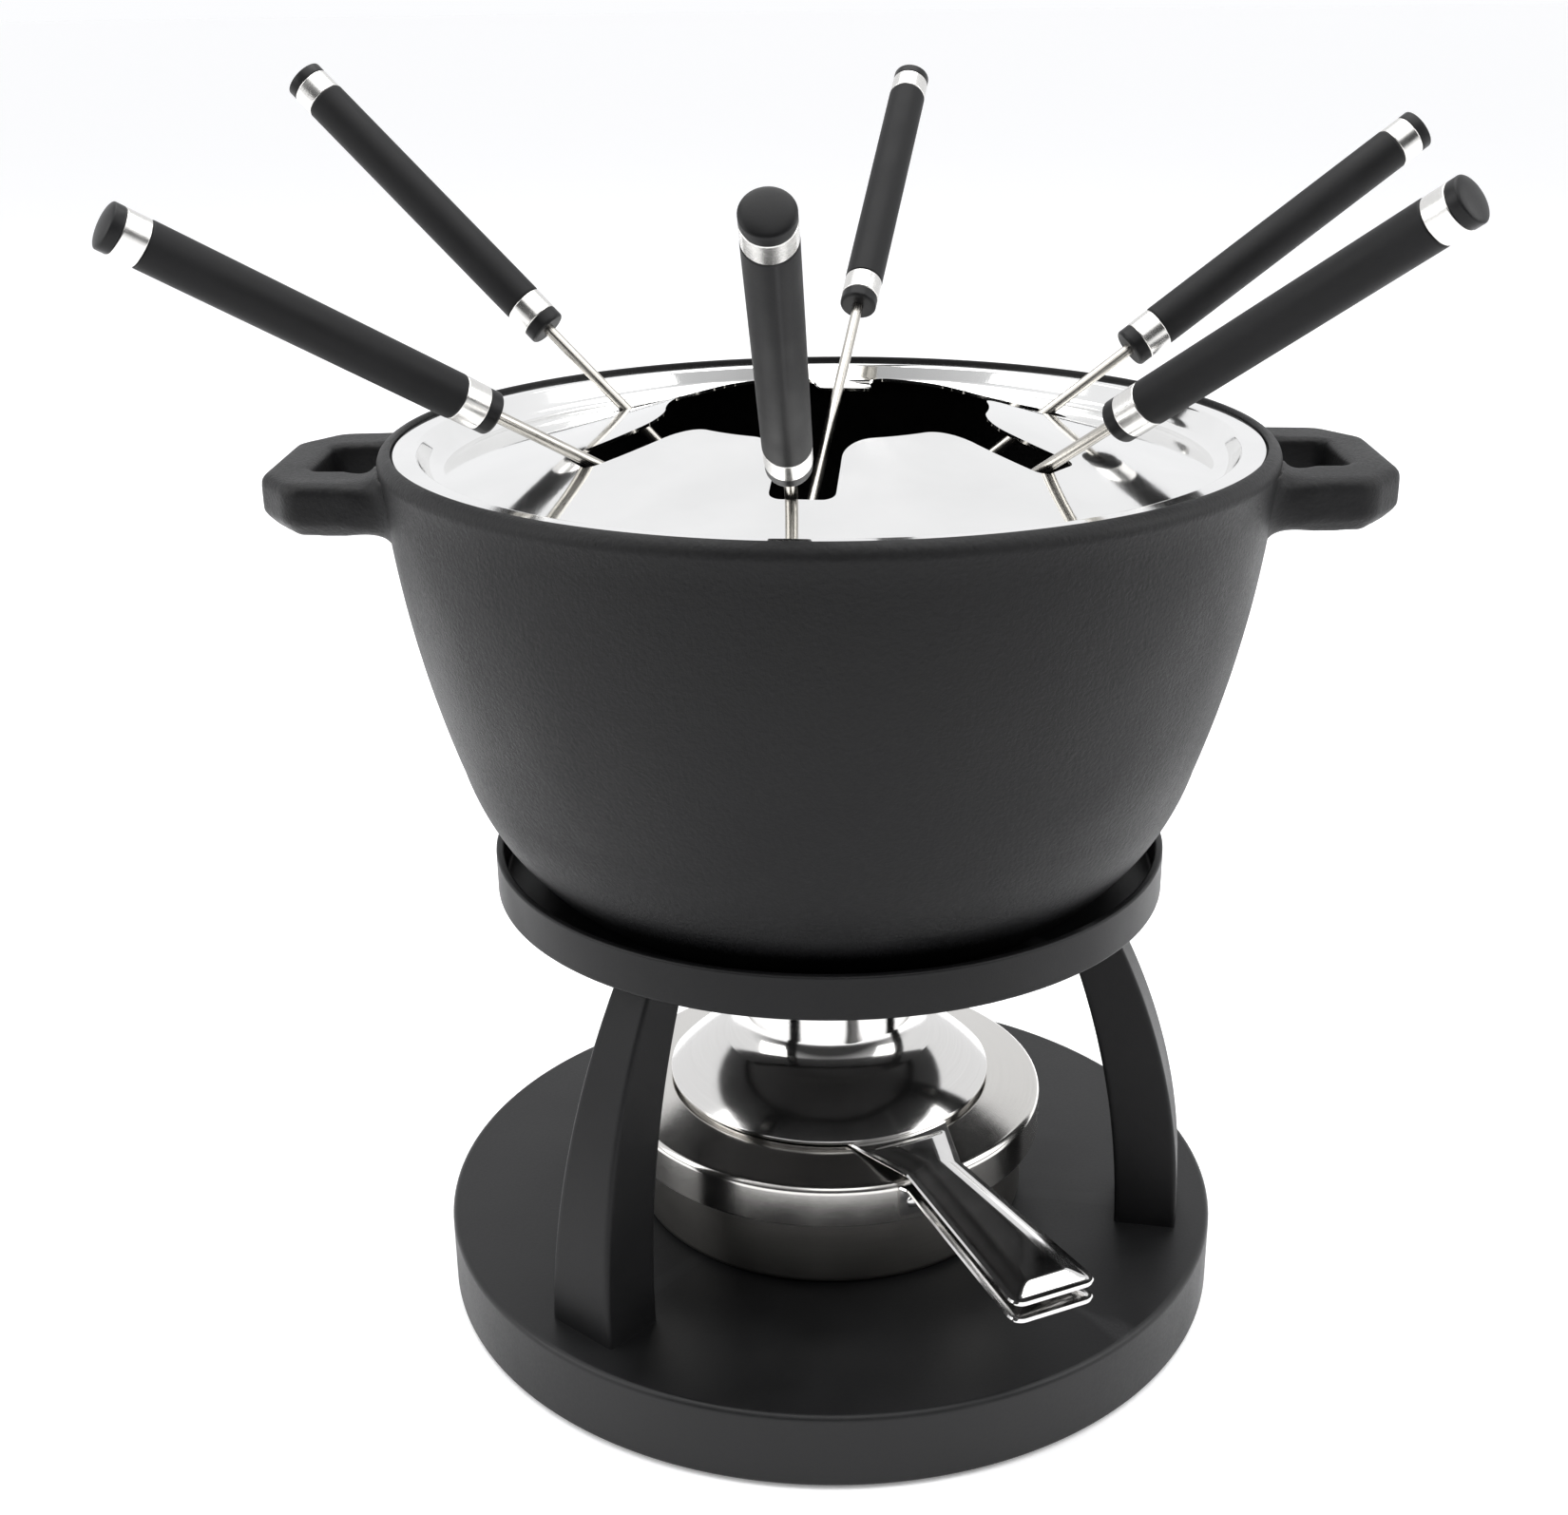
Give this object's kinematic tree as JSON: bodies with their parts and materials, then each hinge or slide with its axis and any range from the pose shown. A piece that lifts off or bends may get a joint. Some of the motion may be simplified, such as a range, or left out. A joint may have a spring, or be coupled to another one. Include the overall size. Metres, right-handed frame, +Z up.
{
  "type": "fondue pot set",
  "caption": "Cast iron fondue pot on a three-legged stand over a regulated paste burner, with a notched splatter guard and long-handled forks.",
  "frame": {"origin": "centre of the stand's underside, on the surface it stands on", "axes": "+Z up; the pot's handles point along +X and -X; the burner's handles point towards -Y"},
  "size_m": [0.2863, 0.2885, 0.3012],
  "materials": {
    "board_lacquer": "fibreboard with satin black lacquer",
    "pad_foam": "thin black non-slip sheet",
    "screw_zinc": "zinc plated steel",
    "leg_enamel": "satin black powder coat",
    "ring_enamel": "satin black powder coat",
    "pot_enamel": "matte black enamel with a fine cast grain",
    "guard_steel": "mirror polished stainless steel",
    "shaft_steel": "drawn stainless steel",
    "ferrule_steel": "turned stainless steel",
    "grip_coating": "soft-touch black plastic",
    "cap_plastic": "moulded black plastic",
    "cup_steel": "spun stainless steel, matte",
    "tin_plate": "tinplate",
    "fuel_gel": "set fuel paste",
    "lid_steel": "polished stainless steel",
    "hat_steel": "polished stainless steel with turning marks",
    "arm_steel": "pressed and polished stainless steel",
    "rivet_steel": "headed stainless steel"
  },
  "bodies": {
    "stand": {"base_pad": "pad_foam", "base_board": "board_lacquer", "foot_screws": "screw_zinc", "leg_1": "leg_enamel", "leg_2": "leg_enamel", "leg_3": "leg_enamel", "stand_ring": "ring_enamel", "ring_screws": "screw_zinc"},
    "pot": {"pot": "pot_enamel"},
    "guard": {"splatter_guard": "guard_steel"},
    "fork_1": {"fork_1_shaft": "shaft_steel", "fork_1_collar": "cap_plastic", "fork_1_lower_ferrule": "ferrule_steel", "fork_1_grip": "grip_coating", "fork_1_upper_ferrule": "ferrule_steel", "fork_1_cap": "cap_plastic"},
    "fork_2": {"fork_2_shaft": "shaft_steel", "fork_2_collar": "cap_plastic", "fork_2_lower_ferrule": "ferrule_steel", "fork_2_grip": "grip_coating", "fork_2_upper_ferrule": "ferrule_steel", "fork_2_cap": "cap_plastic"},
    "fork_3": {"fork_3_shaft": "shaft_steel", "fork_3_collar": "cap_plastic", "fork_3_lower_ferrule": "ferrule_steel", "fork_3_grip": "grip_coating", "fork_3_upper_ferrule": "ferrule_steel", "fork_3_cap": "cap_plastic"},
    "fork_4": {"fork_4_shaft": "shaft_steel", "fork_4_collar": "cap_plastic", "fork_4_lower_ferrule": "ferrule_steel", "fork_4_grip": "grip_coating", "fork_4_upper_ferrule": "ferrule_steel", "fork_4_cap": "cap_plastic"},
    "fork_5": {"fork_5_shaft": "shaft_steel", "fork_5_collar": "cap_plastic", "fork_5_lower_ferrule": "ferrule_steel", "fork_5_grip": "grip_coating", "fork_5_upper_ferrule": "ferrule_steel", "fork_5_cap": "cap_plastic"},
    "fork_6": {"fork_6_shaft": "shaft_steel", "fork_6_collar": "cap_plastic", "fork_6_lower_ferrule": "ferrule_steel", "fork_6_grip": "grip_coating", "fork_6_upper_ferrule": "ferrule_steel", "fork_6_cap": "cap_plastic"},
    "burner": {"burner_cup": "cup_steel", "fuel_tin": "tin_plate", "fuel_paste": "fuel_gel"},
    "lid": {"burner_lid": "lid_steel", "lid_handle": "arm_steel", "lid_rivets": "rivet_steel"},
    "regulator": {"regulator_handle": "arm_steel", "regulator_hat": "hat_steel"}
  },
  "joints": [
    {"name": "pot_lift", "type": "slide", "parent": "stand", "child": "pot", "axis": [0, 0, 1], "range_m": [0, 0.12]},
    {"name": "guard_lift", "type": "slide", "parent": "pot", "child": "guard", "axis": [0, 0, 1], "range_m": [0, 0.08]},
    {"name": "fork_1_pull", "type": "slide", "parent": "guard", "child": "fork_1", "axis": [-0.7424, -0.4425, 0.503], "range_m": [0, 0.13]},
    {"name": "fork_2_pull", "type": "slide", "parent": "guard", "child": "fork_2", "axis": [-0.0201, -0.7658, 0.6428], "range_m": [0, 0.13]},
    {"name": "fork_3_pull", "type": "slide", "parent": "guard", "child": "fork_3", "axis": [0.6117, -0.5566, 0.5621], "range_m": [0, 0.13]},
    {"name": "fork_4_pull", "type": "slide", "parent": "guard", "child": "fork_4", "axis": [0.798, 0.2019, 0.5678], "range_m": [0, 0.13]},
    {"name": "fork_5_pull", "type": "slide", "parent": "guard", "child": "fork_5", "axis": [0.1864, 0.7533, 0.6307], "range_m": [0, 0.13]},
    {"name": "fork_6_pull", "type": "slide", "parent": "guard", "child": "fork_6", "axis": [-0.6957, 0.2477, 0.6743], "range_m": [0, 0.13]},
    {"name": "burner_pull", "type": "slide", "parent": "stand", "child": "burner", "axis": [0.342, -0.9397, 0], "range_m": [0, 0.12]},
    {"name": "lid_lift", "type": "slide", "parent": "burner", "child": "lid", "axis": [0, 0, 1], "range_m": [0, 0.02]},
    {"name": "regulator_turn", "type": "hinge", "parent": "lid", "child": "regulator", "pos_m": [0, 0, 0.0534], "axis": [0, 0, 1], "range_deg": [0, 22.5]}
  ]
}
